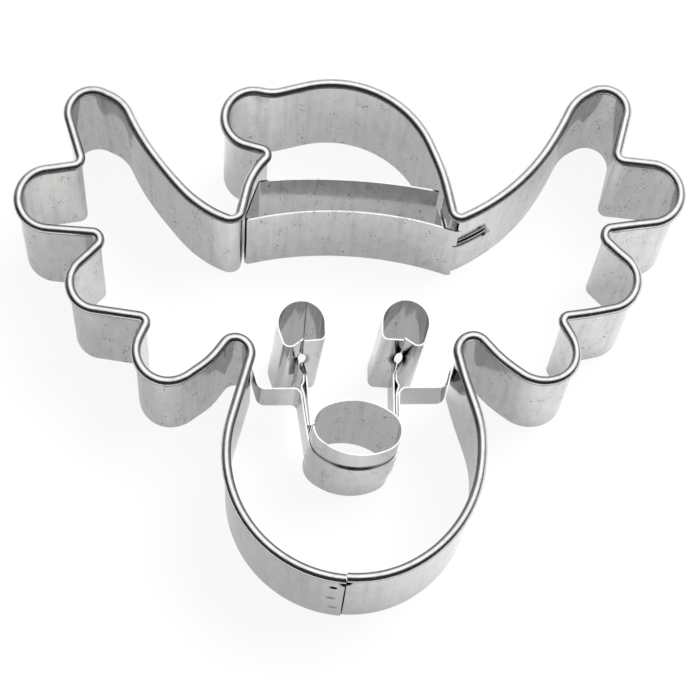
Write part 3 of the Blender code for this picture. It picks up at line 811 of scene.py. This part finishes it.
def makeTable():
    bpy.ops.object.select_all(action="DESELECT")
    bpy.ops.mesh.primitive_plane_add(size=stage["table"])
    table = bpy.context.object
    table.name = "table"
    # White paper: an even ground with faint shadows, and a little darker where the steel mirrors it
    material = bpy.data.materials.new("whitePaper")
    material.use_nodes = True
    tree = material.node_tree
    tree.nodes.clear()
    path = addNode(tree, "ShaderNodeLightPath").outputs
    inSteel = addNode(tree, "ShaderNodeMath", {"operation": "MAXIMUM"},
                      links={0: path["Is Glossy Ray"], 1: path["Is Transmission Ray"]}).outputs[0]
    inSteel = addNode(tree, "ShaderNodeMath", {"operation": "MULTIPLY"},
                      {1: stage["mirroredLight"]}, {0: inSteel}).outputs[0]
    share = addNode(tree, "ShaderNodeMath", {"operation": "MULTIPLY_ADD"},
                    {1: stage["selfLight"]},
                    {0: path["Is Camera Ray"], 2: inSteel}).outputs[0]
    paper = addNode(tree, "ShaderNodeBsdfDiffuse", inputs={"Color": srgb(stage["white"])})
    glow = addNode(tree, "ShaderNodeEmission", inputs={"Strength": 1.0})
    mixed = addNode(tree, "ShaderNodeMixShader",
                    links={0: share, 1: paper.outputs[0], 2: glow.outputs[0]})
    addNode(tree, "ShaderNodeOutputMaterial", links={"Surface": mixed.outputs[0]})
    table.data.materials.append(material)


def makeWorld():
    world = bpy.data.worlds.new("studio")
    bpy.context.scene.world = world
    world.use_nodes = True
    tree = world.node_tree
    tree.nodes.clear()
    camera = addNode(tree, "ShaderNodeLightPath").outputs["Is Camera Ray"]
    direction = addNode(tree, "ShaderNodeTexCoord").outputs["Generated"]
    towards = addNode(tree, "ShaderNodeVectorMath", {"operation": "DOT_PRODUCT"},
                      {1: stage["paleSide"]}, {0: direction}).outputs["Value"]
    dimAt, paleAt = stage["paleFrom"]
    room = addNode(tree, "ShaderNodeMapRange",
                   inputs={"From Min": dimAt, "From Max": paleAt,
                           "To Min": stage["dim"], "To Max": stage["pale"]},
                   links={"Value": towards}).outputs["Result"]
    strength = addNode(tree, "ShaderNodeMix", inputs={"B": 1.0},
                       links={"A": room, "Factor": camera}).outputs["Result"]
    back = addNode(tree, "ShaderNodeBackground", links={"Strength": strength})
    back.inputs["Color"].default_value = (1, 1, 1, 1)
    addNode(tree, "ShaderNodeOutputWorld", links={"Surface": back.outputs[0]})


def makeLamp(name, turned=False, inSteel=True):   # a rectangle, level or turned to the object
    lamp = stage[name]
    data = bpy.data.lights.new(name, "AREA")
    data.shape = "RECTANGLE"
    data.size, data.size_y = lamp["size"]
    data.energy = 4 * data.size * data.size_y * lamp["radiance"]   # the watts that give it
    piece = bpy.data.objects.new(name, data)
    bpy.context.collection.objects.link(piece)
    piece.location = lamp["place"]
    if turned:
        piece.rotation_euler = Vector(lamp["place"]).to_track_quat("Z", "Y").to_euler()
    piece.visible_camera = False
    piece.visible_glossy = inSteel


def makeFlags():   # only the steel sees them
    # Black felt: it gives the rolled bead its dark side
    material = bpy.data.materials.new("blackFelt")
    material.use_nodes = True
    shader = material.node_tree.nodes["Principled BSDF"]
    shader.inputs["Base Color"].default_value = srgb(stage["felt"])
    shader.inputs["Roughness"].default_value = 1.0
    for (x, y), (width, depth) in stage["flags"]:
        bpy.ops.object.select_all(action="DESELECT")
        bpy.ops.mesh.primitive_plane_add(size=1, location=(x, y, mm))
        flag = bpy.context.object
        flag.name = "flag"
        flag.scale = (width, depth, 1)
        flag.data.materials.append(material)
        flag.visible_camera = flag.visible_diffuse = flag.visible_shadow = False


view = {
    "place": (-20.32, -133.48, 453.07),
    "turned": (16.8520, -2.2719, -1.1778),   # degrees about x, y and z from looking straight down
    "lens": 160.46,
    "sensor": 36.0,
    "clip": (0.01, 20.0),   # nearest and farthest, in metres
}


def makeCamera():
    data = bpy.data.cameras.new("camera")
    data.lens = view["lens"]
    data.sensor_width = view["sensor"]
    data.clip_start, data.clip_end = view["clip"]
    camera = bpy.data.objects.new("camera", data)
    bpy.context.collection.objects.link(camera)
    camera.location = [c * mm for c in view["place"]]
    camera.rotation_euler = [math.radians(angle) for angle in view["turned"]]
    bpy.context.scene.camera = camera


makeTable()
makeWorld()
makeLamp("softBox")
makeLamp("hotSpot")
makeLamp("sideLamp", turned=True, inSteel=False)
makeFlags()
makeCamera()
print("scene: stage, light and camera are in place")

bpy.context.scene.view_settings.view_transform = "Standard"
